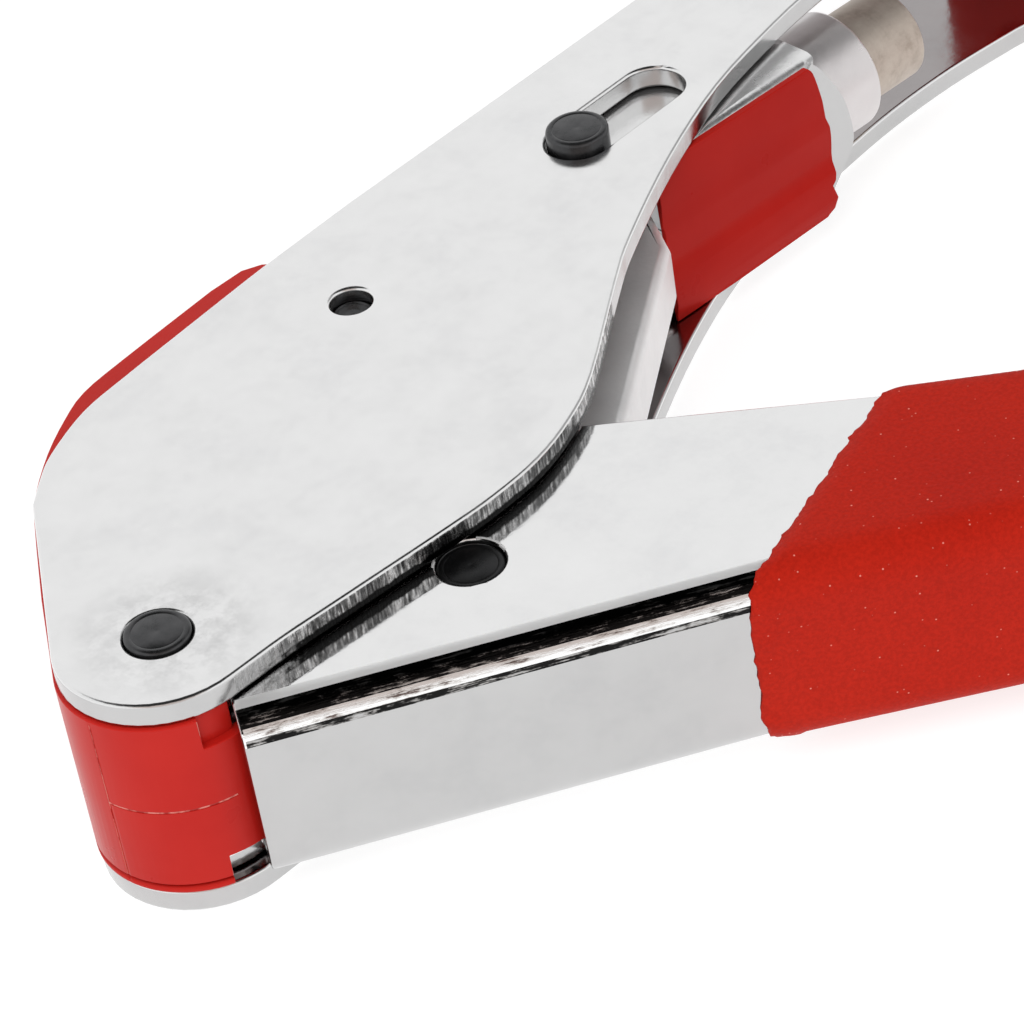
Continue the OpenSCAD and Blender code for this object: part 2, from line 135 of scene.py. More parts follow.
def object_coords(tree, stretch=(1, 1, 1), turn=0.0):
    """Object coordinates in metres, stretched along their own axes after a turn about Z."""
    where = add(tree, "ShaderNodeTexCoord")
    shift = add(tree, "ShaderNodeMapping", vector_type="TEXTURE")
    shift.inputs["Scale"].default_value = stretch
    shift.inputs["Rotation"].default_value = (0, 0, turn)
    tree.links.new(where.outputs["Object"], shift.inputs["Vector"])
    return shift.outputs["Vector"]


def noise_tex(tree, coords, scale, detail=4.0, rough=0.55):
    texture = add(tree, "ShaderNodeTexNoise", Scale=scale, Detail=detail, Roughness=rough)
    tree.links.new(coords, texture.inputs["Vector"])
    return texture.outputs["Fac"]


def ramp(tree, value, stops):
    """Colour ramp; a stop is a place with a colour or, for plain grey, one number."""
    node = add(tree, "ShaderNodeValToRGB")
    while len(node.color_ramp.elements) < len(stops):
        node.color_ramp.elements.new(0.5)
    for element, (place, tone) in zip(node.color_ramp.elements, stops):
        element.position = place
        element.color = tone if isinstance(tone, tuple) else grey(tone)
    tree.links.new(value, node.inputs["Fac"])
    return node.outputs["Color"]


def mix(tree, fac, a, b, mode="MIX"):
    """Mix of two colours; the numbered sockets are the colour ones of the Mix node."""
    node = add(tree, "ShaderNodeMix", data_type="RGBA", blend_type=mode)
    for socket, value in ((node.inputs[0], fac), (node.inputs[6], a), (node.inputs[7], b)):
        if isinstance(value, bpy.types.NodeSocket):
            tree.links.new(value, socket)
        else:
            socket.default_value = value
    return node.outputs[2]


def bump(tree, height, strength, distance, normal=None):
    node = add(tree, "ShaderNodeBump", Strength=strength, Distance=distance)
    tree.links.new(height, node.inputs["Height"])
    if normal is not None:
        tree.links.new(normal, node.inputs["Normal"])
    return node.outputs["Normal"]


def multiply_add(tree, value, factor, addend):
    node = add(tree, "ShaderNodeMath", operation="MULTIPLY_ADD")
    node.inputs[1].default_value = factor
    tree.links.new(value, node.inputs[0])
    if isinstance(addend, bpy.types.NodeSocket):
        tree.links.new(addend, node.inputs[2])
    else:
        node.inputs[2].default_value = addend
    return node.outputs["Value"]


# ---------------------------------------------------------------- materials


def plated_steel(name="plated_steel", light=0.82, rough=(0.14, 0.27), warm=1.0, pitted=0.16, metal=1.0):
    """Bright plating with faint clouds, fine scratches and a slightly wavy face."""
    mat, tree, shader = new_material(name)
    shader.inputs["Metallic"].default_value = metal
    cloud = noise_tex(tree, object_coords(tree), 150.0, 8.0, 0.68)
    dull = (light * 0.94, light * 0.94 * warm, light * 0.945 * warm, 1)
    tint = ramp(tree, cloud, [(0.3, dull), (0.5, grey(light, warm)), (0.7, grey(light * 1.03, warm))])
    tree.links.new(tint, shader.inputs["Base Color"])
    streaks = noise_tex(tree, object_coords(tree, (14, 1, 1)), 9000.0, 3.0)
    patches = noise_tex(tree, object_coords(tree), 260.0, 6.0, 0.65)
    tree.links.new(ramp(tree, patches, [(0.35, rough[0]), (0.7, rough[1])]), shader.inputs["Roughness"])
    fine = bump(tree, streaks, 0.05, 0.00003)
    wavy = bump(tree, noise_tex(tree, object_coords(tree), 110.0, 4.0), 0.27, 0.00018, fine)
    grain = bump(tree, noise_tex(tree, object_coords(tree), 1300.0, 3.0), pitted, 0.00005, wavy)
    tree.links.new(grain, shader.inputs["Normal"])
    return mat


def smudged_plating():
    """Plating of the side plates, with a faint grey smudge round the nose pivot."""
    mat = plated_steel("smudged_plating")
    tree = mat.node_tree
    shader = tree.nodes["Principled BSDF"]
    plain = shader.inputs["Base Color"].links[0].from_socket
    where = add(tree, "ShaderNodeTexCoord")
    away = add(tree, "ShaderNodeVectorMath", operation="DISTANCE")
    away.inputs[1].default_value = SMUDGE_AT * MM
    tree.links.new(where.outputs["Object"], away.inputs[0])
    near = ramp(tree, away.outputs["Value"], [(0.0, 1.0), (SMUDGE_R[0] * MM, 1.0), (SMUDGE_R[1] * MM, 0.0)])
    spread = ramp(tree, noise_tex(tree, object_coords(tree), 420.0, 6.0, 0.7), [(0.42, 0.0), (0.62, 0.42)])
    smudge = mix(tree, 1.0, near, spread, "MULTIPLY")
    tree.links.new(mix(tree, smudge, plain, grey(0.36)), shader.inputs["Base Color"])
    return mat


def black_steel(name="black_steel", depth=1.0):
    mat, tree, shader = new_material(name)
    shader.inputs["Metallic"].default_value = 0.85
    spots = noise_tex(tree, object_coords(tree), 900.0, 4.0)
    tree.links.new(ramp(tree, spots, [(0.35, (0.055 * depth, 0.056 * depth, 0.058 * depth, 1)),
                                      (0.75, (0.095 * depth, 0.095 * depth, 0.098 * depth, 1))]),
                   shader.inputs["Base Color"])
    tree.links.new(ramp(tree, spots, [(0.3, 0.24), (0.7, 0.36)]), shader.inputs["Roughness"])
    tree.links.new(bump(tree, spots, 0.12, 0.00005), shader.inputs["Normal"])
    return mat


def plain_steel():
    mat, tree, shader = new_material("plain_steel")
    shader.inputs["Metallic"].default_value = 1.0
    cloud = noise_tex(tree, object_coords(tree), 300.0, 4.0)
    tree.links.new(ramp(tree, cloud, [(0.3, (0.50, 0.50, 0.51, 1)), (0.7, 0.60)]),
                   shader.inputs["Base Color"])
    tree.links.new(ramp(tree, cloud, [(0.3, 0.28), (0.7, 0.42)]), shader.inputs["Roughness"])
    tree.links.new(bump(tree, cloud, 0.1, 0.0001), shader.inputs["Normal"])
    return mat


def machined_steel():
    mat, tree, shader = new_material("machined_steel")
    shader.inputs["Metallic"].default_value = 0.75
    cloud = noise_tex(tree, object_coords(tree), 350.0, 6.0, 0.7)
    tree.links.new(ramp(tree, cloud, [(0.3, (0.36, 0.30, 0.25, 1)), (0.5, (0.52, 0.45, 0.39, 1)),
                                      (0.75, (0.62, 0.56, 0.49, 1))]), shader.inputs["Base Color"])
    tree.links.new(ramp(tree, cloud, [(0.3, 0.38), (0.7, 0.55)]), shader.inputs["Roughness"])
    rings = add(tree, "ShaderNodeTexWave", wave_type="BANDS", bands_direction="X",
                Scale=700.0, Distortion=0.4)
    tree.links.new(object_coords(tree), rings.inputs["Vector"])
    pits = bump(tree, cloud, 0.25, 0.0001)
    tree.links.new(bump(tree, rings.outputs["Fac"], 0.06, 0.00004, pits), shader.inputs["Normal"])
    return mat


def spring_steel():
    mat, tree, shader = new_material("spring_steel")
    shader.inputs["Metallic"].default_value = 1.0
    cloud = noise_tex(tree, object_coords(tree), 800.0, 3.0)
    tree.links.new(ramp(tree, cloud, [(0.3, (0.22, 0.22, 0.24, 1)), (0.7, (0.36, 0.36, 0.38, 1))]),
                   shader.inputs["Base Color"])
    shader.inputs["Roughness"].default_value = 0.3
    return mat


def bronze():
    mat, tree, shader = new_material("bronze")
    shader.inputs["Metallic"].default_value = 1.0
    cloud = noise_tex(tree, object_coords(tree), 900.0, 5.0)
    tree.links.new(ramp(tree, cloud, [(0.3, (0.42, 0.27, 0.13, 1)), (0.7, (0.60, 0.42, 0.22, 1))]),
                   shader.inputs["Base Color"])
    tree.links.new(ramp(tree, cloud, [(0.3, 0.35), (0.7, 0.5)]), shader.inputs["Roughness"])
    return mat


def red_plastic(name="red_plastic", depth=1.0, gloss=0.14):
    mat, tree, shader = new_material(name)
    cloud = noise_tex(tree, object_coords(tree), 120.0, 4.0)
    tree.links.new(ramp(tree, cloud, [(0.3, (0.49 * depth, 0.013 * depth, 0.009 * depth, 1)),
                                      (0.7, (0.54 * depth, 0.018 * depth, 0.012 * depth, 1))]),
                   shader.inputs["Base Color"])
    shader.inputs["Specular IOR Level"].default_value = gloss
    tree.links.new(ramp(tree, cloud, [(0.3, 0.26), (0.7, 0.36)]), shader.inputs["Roughness"])
    grain = noise_tex(tree, object_coords(tree), 1600.0, 3.0)
    tree.links.new(bump(tree, grain, 0.05, 0.00006), shader.inputs["Normal"])
    return mat


def parting_line():
    """Pale, broken flash where the mould halves met."""
    mat, tree, shader = new_material("parting_line")
    wear = noise_tex(tree, object_coords(tree), 900.0, 3.0)
    tree.links.new(ramp(tree, wear, [(0.40, (0.42, 0.016, 0.012, 1)), (0.52, (0.80, 0.30, 0.25, 1))]),
                   shader.inputs["Base Color"])
    shader.inputs["Roughness"].default_value = 0.5
    return mat


def red_dip():
    mat, tree, shader = new_material("red_dip")
    cloud = noise_tex(tree, object_coords(tree), 70.0, 5.0)
    shader.inputs["Specular IOR Level"].default_value = 0.07
    base = ramp(tree, cloud, [(0.3, (0.435, 0.014, 0.006, 1)), (0.7, (0.49, 0.019, 0.008, 1))])
    cells = add(tree, "ShaderNodeTexVoronoi", Scale=1500.0)
    tree.links.new(object_coords(tree), cells.inputs["Vector"])
    specks = ramp(tree, cells.outputs["Distance"], [(0.0, 1.0), (0.14, 0.0)])
    rare = ramp(tree, noise_tex(tree, object_coords(tree), 700.0, 1.0), [(0.54, 0.0), (0.60, 1.0)])
    fac = mix(tree, 1.0, specks, rare, "MULTIPLY")
    grain = ramp(tree, noise_tex(tree, object_coords(tree), 3200.0, 2.0), [(0.35, 0.89), (0.65, 1.06)])
    skin = mix(tree, 1.0, base, grain, "MULTIPLY")
    tree.links.new(mix(tree, fac, skin, (0.95, 0.42, 0.34, 1)), shader.inputs["Base Color"])
    tree.links.new(ramp(tree, cloud, [(0.3, 0.5), (0.7, 0.6)]), shader.inputs["Roughness"])
    fine = bump(tree, noise_tex(tree, object_coords(tree), 2600.0, 3.0), 0.45, 0.00008)
    tree.links.new(bump(tree, noise_tex(tree, object_coords(tree), 500.0, 4.0), 0.12, 0.0001, fine),
                   shader.inputs["Normal"])
    return mat


def sheared_edge_painted_shade():
    """Torn plate edge: fine upright streaks above, painted black shade below for the dark gap under the
    plate, the darker side tone near the nose.
    """
    mat, tree, shader = new_material("sheared_edge_painted_shade")
    shader.inputs["Metallic"].default_value = 1.0
    streaks = noise_tex(tree, object_coords(tree, (1, 1, 9)), 3400.0, 4.0, 0.7)
    breaks = noise_tex(tree, object_coords(tree), 700.0, 5.0, 0.75)
    height = mix(tree, 0.35, streaks, breaks)
    torn = ramp(tree, height, [(0.40, 0.04), (0.50, 0.22), (0.60, 0.80)])
    where = add(tree, "ShaderNodeTexCoord")
    split = add(tree, "ShaderNodeSeparateXYZ")
    tree.links.new(where.outputs["Object"], split.inputs["Vector"])
    level = multiply_add(tree, split.outputs["Z"], 1 / (PLATE_T * MM), 1 - PLATE_TOP / PLATE_T)
    ragged = multiply_add(tree, breaks, 0.35, level)
    # mask of the streaky upper part; below the ragged line the edge is painted black: painted shade of the
    # gap under it
    upper = ramp(tree, ragged, [(0.52, 0.0), (0.60, 1.0)])
    edge = mix(tree, upper, grey(0.008), torn)
    past_nose = multiply_add(tree, split.outputs["X"], TEAR_ONSET, breaks)
    begun = ramp(tree, past_nose, [(0.75, 0.0), (1.0, 1.0)])
    tree.links.new(mix(tree, begun, grey(SIDE_SHADE_TONE), edge), shader.inputs["Base Color"])
    tree.links.new(ramp(tree, breaks, [(0.35, 0.16), (0.7, 0.34)]), shader.inputs["Roughness"])
    tree.links.new(bump(tree, height, 0.6, 0.0003), shader.inputs["Normal"])
    return mat


def bent_plating(name, low, high, start, strength=0.45):
    """Plating stretched over the lever's fold, its reflections painted in as tones: fine lines along it, from
    the low tone to the high one.
    """
    mat, tree, shader = new_material(name)
    shader.inputs["Metallic"].default_value = 1.0
    lines = noise_tex(tree, object_coords(tree, (30, 1, 1), WEB_ANG), 3600.0, 4.0, 0.7)
    pits = noise_tex(tree, object_coords(tree, (3, 1, 1), WEB_ANG), 1500.0, 4.0, 0.7)
    height = mix(tree, 0.5, lines, pits)
    between = (high * 0.7, high * 0.68, high * 0.66, 1)
    tree.links.new(ramp(tree, height, [(start, low), (start + 0.05, between), (start + 0.1, high)]),
                   shader.inputs["Base Color"])
    tree.links.new(ramp(tree, pits, [(0.35, 0.14), (0.65, 0.06)]), shader.inputs["Roughness"])
    tree.links.new(bump(tree, height, strength, 0.00018), shader.inputs["Normal"])
    return mat


MATERIALS = {
    "plated_steel": plated_steel(),
    "black_steel": black_steel(),
    "plain_steel": plain_steel(),
    "spring_steel": spring_steel(),
    "machined_steel": machined_steel(),
    "bronze": bronze(),
    "red_plastic": red_plastic(),
    "red_dip": red_dip(),
}
SHEARED_WITH_PAINTED_SHADE = sheared_edge_painted_shade()
# copy of the plating darkened for upright faces: painted shade
SHADED_SIDE_PLATING = plated_steel("side_plating_painted_shade", SIDE_SHADE_TONE)
# darker, slightly warm copy of the plating for the plates' inside faces: painted shade
SHADED_INNER_PLATING = plated_steel("inner_plating_painted_shade", 0.36, (0.1, 0.22), 0.94)
LEVER_PLATING = plated_steel("lever_plating", 0.82, (0.05, 0.13), 1.0, 0.1)
BRACKET_PLATING = plated_steel("bracket_plating", 0.80, (0.14, 0.3), 1.0, 0.4, 0.9)
SATIN = plated_steel("satin_plating", 0.84, (0.36, 0.5), 1.0, 0.6, 0.55)
TURNED = plated_steel("turned_plating", 0.70, (0.26, 0.4), 0.96, 0.3, 0.85)
SMUDGED = smudged_plating()
PARTING = parting_line()
SLOT_OF = {part["node"]: part["material_slot"] for part in frame["record"]["subparts"]}
BODY_OF = {n: body for body, members in frame["record"]["behaviour"]["bodies"].items() for n in members}

for node_name, ob in frame["nodes"].items():
    ob.data.materials.clear()
    ob.data.materials.append(MATERIALS[SLOT_OF[node_name]])

# ---------------------------------------------------------------- mesh helpers


def node_mesh(node):
    """Mesh of a CAD node, welded and with its flat faces whole."""
    bm = bmesh.new()
    bm.from_mesh(frame["nodes"][node].data)
    bmesh.ops.remove_doubles(bm, verts=bm.verts, dist=WELD)
    bmesh.ops.dissolve_limit(bm, angle_limit=math.radians(0.4), verts=bm.verts, edges=bm.edges)
    return bm


def piece_from(name, bm, slot):
    mesh = bpy.data.meshes.new(name)
    bmesh.ops.recalc_face_normals(bm, faces=bm.faces)
    bm.to_mesh(mesh)
    bm.free()
    ob = bpy.data.objects.new(name, mesh)
    bpy.context.scene.collection.objects.link(ob)
    mesh.materials.append(MATERIALS[slot])
    return ob


def settle(ob, node):
    """Put a piece in the place of a CAD node and on its body."""
    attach(ob, BODY_OF[node])
    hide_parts(node)


def apply_modifiers(ob):
    graph = bpy.context.evaluated_depsgraph_get()
    final = ob.evaluated_get(graph)
    mesh = bpy.data.meshes.new_from_object(final, preserve_all_data_layers=True, depsgraph=graph)
    ob.modifiers.clear()
    ob.data = mesh


def level_normals(ob):
    level = ob.modifiers.new("level", "WEIGHTED_NORMAL")
    level.weight = 100
    level.keep_sharp = True
    apply_modifiers(ob)


def round_edges(ob, width, segments=2, angle=30.0, clamp=True):
    """Round every edge sharper than the angle; width in mm."""
    ob.data.shade_smooth()
    bevel = ob.modifiers.new("bevel", "BEVEL")
    bevel.width = width * MM
    bevel.segments = segments
    bevel.limit_method = "ANGLE"
    bevel.angle_limit = math.radians(angle)
    bevel.use_clamp_overlap = clamp
    level_normals(ob)


def refined(node, width, segments=2, angle=30.0, clamp=True):
    ob = piece_from(node + "_fine", node_mesh(node), SLOT_OF[node])
    round_edges(ob, width, segments, angle, clamp)
    return ob


def smooth_by_angle(ob, angle):
    ob.data.shade_smooth()
    ob.data.set_sharp_from_angle(angle=math.radians(angle))
    level_normals(ob)


def cut(ob, cutter):
    tool = ob.modifiers.new("cut", "BOOLEAN")
    tool.operation = "DIFFERENCE"
    tool.solver = "EXACT"
    tool.object = cutter
    apply_modifiers(ob)
    bpy.data.objects.remove(cutter)


def sector(name, radii, angles, heights, steps):
    """Part of a red ring about the Z axis; radii and heights in mm, angles in degrees."""
    bm = bmesh.new()
    rows = []
    for k in range(steps + 1):
        t = math.radians(angles[0] + (angles[1] - angles[0]) * k / steps)
        way = Vector((math.cos(t), math.sin(t), 0))
        rows.append([bm.verts.new((way * r + Vector((0, 0, z))) * MM)
                     for r, z in ((radii[0], heights[0]), (radii[1], heights[0]),
                                  (radii[1], heights[1]), (radii[0], heights[1]))])
    for a, b in zip(rows, rows[1:]):
        for i in range(4):
            bm.faces.new((a[i], a[(i + 1) % 4], b[(i + 1) % 4], b[i]))
    bm.faces.new(rows[0])
    bm.faces.new(rows[-1])
    return piece_from(name, bm, "red_plastic")


def lathe(name, profile, place, slot, closed=False, turns=72):
    """Turned piece: profile is a row of (radius, height) in mm, place puts its axis."""
    bm = bmesh.new()
    rings = []
    for r, h in profile:
        if r == 0:
            rings.append([bm.verts.new((place @ Vector((0, 0, h))) * MM)])
            continue
        rings.append([bm.verts.new((place @ Vector((r * math.cos(t), r * math.sin(t), h))) * MM)
                      for t in (2 * math.pi * k / turns for k in range(turns))])
    pairs = list(zip(rings, rings[1:]))
    if closed:
        pairs.append((rings[-1], rings[0]))
    for a, b in pairs:
        for k in range(turns):
            quad = [a[k % len(a)], a[(k + 1) % len(a)], b[(k + 1) % len(b)], b[k % len(b)]]
            corners = [v for i, v in enumerate(quad) if v not in quad[:i]]
            bm.faces.new(corners)
    ob = piece_from(name, bm, slot)
    smooth_by_angle(ob, 40)
    return ob


def arc_corner(r, h, radius, start, steps=3):
    """Points of a rounded corner about (r, h), a quarter turn on from the start angle."""
    return [(r + radius * math.cos(start + math.pi / 2 * k / steps),
             h + radius * math.sin(start + math.pi / 2 * k / steps)) for k in range(steps + 1)]


def pin_profile(r, z0, z1, corner, dimple=True):
    """Pin from z0 to z1 with rounded rims and, on its upper end, a turned ring and a centre mark."""
    rows = [(0, z0)]
    rows += arc_corner(r - corner, z0 + corner, corner, -math.pi / 2)
    rows += arc_corner(r - corner, z1 - corner, corner, 0)
    if dimple:
        rows += [(r * 0.80, z1), (r * 0.77, z1 - 0.05), (r * 0.74, z1 - 0.02)]
        rows += [(0.22, z1 - 0.02), (0.12, z1 - 0.035), (0, z1 - 0.04)]
    else:
        rows.append((0, z1))
    return rows


def ring_profile(ro, ri, z0, z1, corner):
    rows = arc_corner(ro - corner, z0 + corner, corner, -math.pi / 2)
    rows += arc_corner(ro - corner, z1 - corner, corner, 0)
    rows += arc_corner(ri + corner, z1 - corner, corner, math.pi / 2)
    rows += arc_corner(ri + corner, z0 + corner, corner, math.pi)
    return rows


def tube(name, path, radius, sides, slot):
    """Round wire along a row of points in mm."""
    bm = bmesh.new()
    rings = []
    side = None
    for i, point in enumerate(path):
        ahead = (path[min(i + 1, len(path) - 1)] - path[max(i - 1, 0)]).normalized()
        if side is None:
            side = ahead.orthogonal().normalized()
        side = (side - ahead * side.dot(ahead)).normalized()
        other = ahead.cross(side)
        rings.append([bm.verts.new((point + radius * (math.cos(t) * side + math.sin(t) * other)) * MM)
                      for t in (2 * math.pi * k / sides for k in range(sides))])
    for a, b in zip(rings, rings[1:]):
        for k in range(sides):
            bm.faces.new((a[k], a[(k + 1) % sides], b[(k + 1) % sides], b[k]))
    bm.faces.new(rings[0])
    bm.faces.new(rings[-1])
    ob = piece_from(name, bm, slot)
    smooth_by_angle(ob, 50)
    return ob


def at(point, z=0.0):
    return Matrix.Translation(Vector((point[0], point[1], z)))


# ---------------------------------------------------------------- plates, channels, link, bracket


def along(ang):
    return Vector((math.cos(ang), math.sin(ang), 0))


def outward_of(ang):
    return Vector((math.sin(ang), -math.cos(ang), 0))


def plate_piece(node, inner_up):
    """Stamped plate: side band in the darker side tone and torn along the concave lower edge, both with
    painted shade, and its inside face darkened as painted shade.
    """
    ob = refined(node, 0.32, 4, 40, False)
    ob.data.materials[0] = SMUDGED
    for material in (SHADED_SIDE_PLATING, SHEARED_WITH_PAINTED_SHADE, SHADED_INNER_PLATING, MATERIALS["plated_steel"]):
        ob.data.materials.append(material)
    side, sheared, inner, slot_wall = 1, 2, 3, 4
    torn_from, torn_to = TORN_X[node]
    for face in ob.data.polygons:
        x, y, _ = face.center / MM
        torn = torn_from < x < torn_to and y < 0.5 and face.normal.y < 0
        if abs(face.normal.z) < 0.5 or (torn and -0.97 < face.normal.z < 0):
            in_slot = abs(x - SLOT_MID[0]) < SLOT_HALF[0] and abs(y - SLOT_MID[1]) < SLOT_HALF[1]
            face.material_index = sheared if torn else slot_wall if in_slot else side
        # inside faces take the darker plating: painted shade
        elif face.normal.z * inner_up > 0.9:
            face.material_index = inner
    settle(ob, node)


def lever_piece():
    """Folded lever with painted reflections over the upper fold, dark bands and a painted highlight, and side
    faces in the darker side tone.
    """
    ob = refined("lever_channel", 0.2, 2, 40, False)
    ob.data.materials[0] = LEVER_PLATING
    for material in (
        # painted reflections on the fold: a dark band, a painted highlight, a dark line at its foot
        bent_plating("fold_painted_dark_reflection", grey(0.015), 0.6, 0.52),
        bent_plating("fold_painted_highlight", (0.16, 0.12, 0.11, 1), 0.97, 0.38, 0.3),
        bent_plating("fold_foot_painted_dark_reflection", grey(0.015), 0.5, 0.5),
        SHADED_SIDE_PLATING,
        SATIN,
    ):
        ob.data.materials.append(material)
    # indices: painted dark band, painted highlight, painted dark foot line, darker side tone (painted shade),
    # satin rim
    dark, light, foot, side, rim = 1, 2, 3, 4, 5
    # how far a face of the fold leans from the flange out to the web, and its material up to there; the dark
    # bands and the light one are painted reflections
    bands = ((0.36, rim), (0.83, dark), (0.982, light), (0.9995, foot))
    web_out = outward_of(WEB_ANG)
    for face in ob.data.polygons:
        outward = face.normal.dot(web_out)
        if 0.06 < outward < bands[-1][0] and face.normal.z > 0.02:
            face.material_index = next(index for limit, index in bands if outward < limit)
        # upright faces of the lever take the darker side tone: painted shade
        elif -0.97 < face.normal.z < 0.3:
            face.material_index = side
    settle(ob, "lever_channel")


plate_piece("front_plate", -1)
plate_piece("rear_plate", 1)
lever_piece()

settle(refined("upper_channel", 0.22, 2, 40), "upper_channel")
link = refined("toggle_link", 0.9, 5, 40)
link.data.materials[0] = SATIN
settle(link, "toggle_link")
bracket = refined("slider_bracket", 0.22, 3, 40)
bracket.data.materials[0] = BRACKET_PLATING
bracket.data.materials.append(SHADED_SIDE_PLATING)
# upright faces of the bracket take the darker side tone: painted shade
for face in bracket.data.polygons:
    face.material_index = 1 if abs(face.normal.z) < 0.3 else 0
settle(bracket, "slider_bracket")
settle(refined("slider_block", 0.3, 2, 40), "slider_block")

# ---------------------------------------------------------------- red bumper, saddle, cable seat


def bumper_piece():
    """Nose bumper with its parting lines and the gap above its foot."""
    ob = refined("nose_bumper", 0.45, 4, 40)
    outer = BUMPER_R + 0.3
    round_line = sector("groove_round", (BUMPER_R - 0.07, outer), (-176, -104), (MID - 0.1, MID + 0.1), 24)
    foot_gap = sector("groove_foot", (BUMPER_R - 0.55, outer), (-212, -112), (2.62, 2.95), 32)
    upright_line = sector("groove_up", (BUMPER_R - 0.06, outer), (-175.9, -174.5), (2.5, 17.5), 1)
    for groove in (round_line, foot_gap, upright_line):
        cut(ob, groove)
    ob.data.materials.append(PARTING)
    for face in ob.data.polygons:
        x, y, z = face.center / MM
        sunk = math.hypot(x, y) < BUMPER_R - 0.025 and 3.2 < z < 17.2
        upright = face.normal.z ** 2 < 0.01
        if sunk and upright and face.area < 0.6 * MM ** 2 and y < 0 and x < 2:
            face.material_index = 1
    smooth_by_angle(ob, 35)
    settle(ob, "nose_bumper")


def liner_piece():
    """Short lip behind the bumper's upper notch."""
    liner = sector("bumper_liner", (6.92, 7.3), (-116.5, -95), (15.0, 17.8), 8)
    round_edges(liner, 0.08, 2)
    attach(liner, "root")


bumper_piece()
liner_piece()

# heights across the saddle and how far its outer face lies in there, in mm
SADDLE_STEPS = ((2.5, 0.34), (3.8, 0.05), (6.4, 0.0), (7.4, 0.44), (8.2, 0.46), (11.2, 0.08), (12.0, 0.30),
                (14.0, 0.06), (17.4, 0.0))
SADDLE_ENDS = ((0.0, 0.25), (PLATE_TOP, 0.1))


def saddle_sink(z):
    """How far the saddle's outer face lies in, by height across it."""
    stops = (SADDLE_ENDS[0],) + SADDLE_STEPS + (SADDLE_ENDS[1],)
    for (z0, d0), (z1, d1) in zip(stops, stops[1:]):
        if z <= z1:
            return d0 + (d1 - d0) * (z - z0) / (z1 - z0)
    return stops[-1][1]


def red_saddle():
    """Saddle with its pressed creases."""
    bm = node_mesh("slider_saddle")
    for z, _ in SADDLE_STEPS:
        geom = list(bm.verts) + list(bm.edges) + list(bm.faces)
        bmesh.ops.bisect_plane(bm, geom=geom, plane_co=(0, 0, z * MM), plane_no=(0, 0, 1), dist=1e-7)
    back = CARRIAGE.inverted()
    for v in bm.verts:
        local = back @ (v.co / MM)
        if local.y < WEB_V - 0.6:
            local.y += saddle_sink(local.z)
            v.co = (CARRIAGE @ local) * MM
    ob = piece_from("slider_saddle_fine", bm, "red_plastic")
    ob.data.materials[0] = red_plastic("red_saddle", 0.84, 0.05)
    round_edges(ob, 0.22, 3, 25)
    return ob


settle(red_saddle(), "slider_saddle")
settle(refined("connector_cradle", 0.3, 2, 40), "connector_cradle")
settle(refined("front_jaw", 0.3, 2, 40), "front_jaw")
settle(refined("rear_jaw", 0.3, 2, 40), "rear_jaw")

# ---------------------------------------------------------------- turned parts

FLAT = at((0, 0))
for node_name, profile, place in (
    ("pivot_pin", pin_profile(2.5, 0.0, PLATE_TOP + 0.3, 0.3), FLAT),
    ("anchor_pin", pin_profile(1.65, 1.1, 18.9, 0.3), at(ANCHOR)),
    ("link_pin", pin_profile(PIN_R, 2.5, 17.5, 0.3), at(LINK_C)),
    ("slider_pin", pin_profile(PIN_R, 0.1, PLATE_TOP + 1.2, 0.35), at(SLIDE_D)),
):
    ob = lathe(node_name + "_fine", profile, place, SLOT_OF[node_name])
    # the link pin takes a darker copy of black steel: painted shade for the dark it reflects
    if node_name == "link_pin":
        ob.data.materials[0] = black_steel("black_link_pin_painted_shade", 0.4)
    settle(ob, node_name)


def joined(name, parts):
    bm = bmesh.new()
    for part in parts:
        bm.from_mesh(part.data)
        bpy.data.objects.remove(part)
    mesh = bpy.data.meshes.new(name)
    bm.to_mesh(mesh)
    bm.free()
    ob = bpy.data.objects.new(name, mesh)
    bpy.context.scene.collection.objects.link(ob)
    return ob


def row_of_turned(node, profiles, material=None):
    slot = SLOT_OF[node]
    ob = joined(node + "_fine", [lathe("part", p, place, slot, shut) for p, place, shut in profiles])
    ob.data.materials.append(material or MATERIALS[slot])
    smooth_by_angle(ob, 40)
    settle(ob, node)


def spacer(lo, hi):
    return ring_profile(SPACER_R, PIN_R + PIN_PLAY, lo, hi, 0.2)


def nut_profile():
    bore = STUD_R + PIN_PLAY
    return [(bore, NUT_LO), (NUT_R - 0.4, NUT_LO), (NUT_R - 0.15, NUT_LO + 0.05), (NUT_R, NUT_LO + 0.25),
            (NUT_R, NUT_HI - 0.65), (NUT_R - 0.08, NUT_HI - 0.4), (NUT_R - 0.45, NUT_HI - 0.08),
            (NUT_R - 0.6, NUT_HI), (bore, NUT_HI)]


def plunger_profile():
    stud = [(0, STUD_LO), (STUD_R - 0.2, STUD_LO), (STUD_R, STUD_LO + 0.2), (STUD_R, TIP_LO)]
    flank = [(TIP_R - 0.2, TIP_LO), (TIP_R - 0.06, TIP_LO + 0.05), (TIP_R, TIP_LO + 0.2),
             (TIP_R, TIP_HI - 0.4)]
    rim = [(TIP_R - 0.07, TIP_HI - 0.18), (TIP_R - 0.25, TIP_HI - 0.04), (TIP_R - 0.45, TIP_HI)]
    bore = [(TIP_BORE_R + 0.25, TIP_HI), (TIP_BORE_R + 0.05, TIP_HI - 0.08), (TIP_BORE_R, TIP_HI - 0.25),
            (TIP_BORE_R, TIP_BORE_LO), (0, TIP_BORE_LO)]
    return stud + flank + rim + bore


